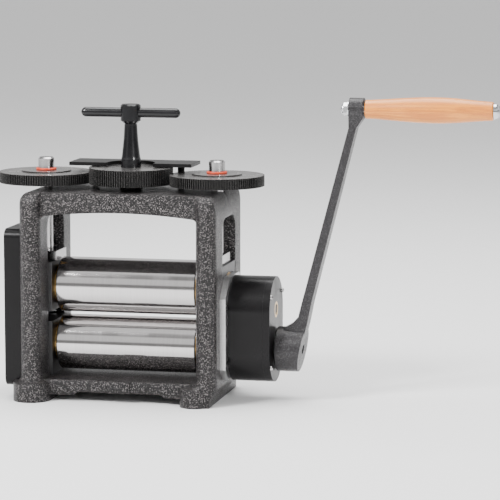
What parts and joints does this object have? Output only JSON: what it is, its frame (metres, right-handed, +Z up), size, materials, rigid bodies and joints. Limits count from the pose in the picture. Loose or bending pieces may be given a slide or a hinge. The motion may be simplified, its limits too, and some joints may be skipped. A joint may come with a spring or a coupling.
{
  "type": "flat rolling mill",
  "caption": "Hand-cranked flat rolling mill with two steel rolls, geared screw adjustment and a reduction gearbox, used as a small etching press.",
  "frame": {"origin": "on the underside of the feet, midway between the four fixing holes", "axes": "+X along the rolls towards the crank, +Y to the back, +Z up"},
  "size_m": [0.565, 0.1586, 0.3407],
  "materials": {
    "frame_paint": "dark hammertone enamel",
    "machined_steel": "fine machined",
    "roll_steel": "ground and polished",
    "bright_steel": "turned, satin",
    "gear_black": "black oxide, satin",
    "handle_black": "black oxide, semi-gloss",
    "cover_black": "satin black",
    "crank_grey": "dark satin grey",
    "bronze": "turned bronze",
    "plate_aluminium": "milled",
    "screw_black": "black oxide screws",
    "ring_red": "red rubber",
    "grip_wood": "varnished beech",
    "spring_steel": "drawn wire",
    "nickel": "nickel plated"
  },
  "bodies": {
    "frame": {"frame_casting": "frame_paint", "lower_block_left": "machined_steel", "lower_block_right": "machined_steel", "lower_bush_left": "bronze", "lower_bush_right": "bronze", "screw_nut_left": "bronze", "screw_nut_right": "bronze", "gear_pivot": "machined_steel", "stop_plate": "cover_black", "stop_plate_posts": "cover_black", "roll_gear_cover": "cover_black", "cover_screws": "screw_black", "mounting_plate": "plate_aluminium", "mounting_screws": "screw_black", "gearbox_housing": "cover_black", "gearbox_end_cover": "cover_black", "gearbox_screws": "bright_steel", "crank_bush": "bronze", "counter_bush_outer": "bronze", "counter_bush_inner": "bronze"},
    "carriage": {"lift_springs_left": "spring_steel", "lift_springs_right": "spring_steel", "upper_block_left": "machined_steel", "upper_block_right": "machined_steel", "upper_bush_left": "bronze", "upper_bush_right": "bronze", "pressure_pad_left": "bright_steel", "pressure_pad_right": "bright_steel"},
    "upper_roller": {"upper_roll": "roll_steel", "upper_roll_gear": "gear_black", "upper_gear_ring": "machined_steel"},
    "lower_roller": {"lower_roll": "roll_steel", "lower_roll_gear": "gear_black", "lower_gear_ring": "machined_steel", "output_wheel": "gear_black"},
    "counter": {"countershaft": "machined_steel", "counter_wheel": "gear_black"},
    "crank": {"crank_shaft": "machined_steel", "crank_arm": "crank_grey", "crank_end_screw": "screw_black", "grip_bolt": "nickel", "grip_washer": "nickel", "acorn_nut": "nickel"},
    "grip": {"wooden_grip": "grip_wood"},
    "t_handle": {"centre_gear": "gear_black", "t_stem": "handle_black", "t_bar": "handle_black"},
    "left_screw": {"adjusting_screw_left": "bright_steel", "side_gear_left": "gear_black", "dial_left": "gear_black", "o_ring_left": "ring_red"},
    "right_screw": {"adjusting_screw_right": "bright_steel", "side_gear_right": "gear_black", "dial_right": "gear_black", "o_ring_right": "ring_red"}
  },
  "joints": [
    {"name": "crank_turn", "type": "hinge", "parent": "frame", "child": "crank", "pos_m": [0.195, 0, 0.058], "axis": [1, 0, 0], "continuous": true},
    {"name": "countershaft_turn", "type": "hinge", "parent": "frame", "child": "counter", "pos_m": [0.14, 0, 0.102], "axis": [1, 0, 0], "continuous": true},
    {"name": "lower_roll_turn", "type": "hinge", "parent": "frame", "child": "lower_roller", "pos_m": [0, 0, 0.058], "axis": [1, 0, 0], "continuous": true},
    {"name": "gap_slide", "type": "slide", "parent": "frame", "child": "carriage", "axis": [0, 0, 1], "range_m": [-0.00321, 0.00261], "deforming": ["lift_springs_left", "lift_springs_right"]},
    {"name": "upper_roll_turn", "type": "hinge", "parent": "carriage", "child": "upper_roller", "pos_m": [0, 0, 0.1234], "axis": [1, 0, 0], "continuous": true},
    {"name": "grip_spin", "type": "hinge", "parent": "crank", "child": "grip", "pos_m": [0.265, 0, 0.3265], "axis": [1, 0, 0], "continuous": true},
    {"name": "t_handle_turn", "type": "hinge", "parent": "frame", "child": "t_handle", "pos_m": [0, 0, 0.24], "axis": [0, 0, 1], "range_deg": [-527, 648]},
    {"name": "left_screw_turn", "type": "hinge", "parent": "carriage", "child": "left_screw", "pos_m": [-0.09855, 0, 0.24], "axis": [0, 0, 1], "range_deg": [-575.9, 468.4]},
    {"name": "right_screw_turn", "type": "hinge", "parent": "carriage", "child": "right_screw", "pos_m": [0.09855, 0, 0.24], "axis": [0, 0, 1], "range_deg": [-575.9, 468.4]}
  ],
  "couplings": [
    {"joint": "countershaft_turn", "follows": "crank_turn", "ratio": -0.46667},
    {"joint": "lower_roll_turn", "follows": "crank_turn", "ratio": 0.21778},
    {"joint": "upper_roll_turn", "follows": "crank_turn", "ratio": -0.21778},
    {"joint": "gap_slide", "follows": "t_handle_turn", "m_per_rad": -0.00028264},
    {"joint": "left_screw_turn", "follows": "t_handle_turn", "ratio": -0.88793},
    {"joint": "right_screw_turn", "follows": "t_handle_turn", "ratio": -0.88793}
  ]
}
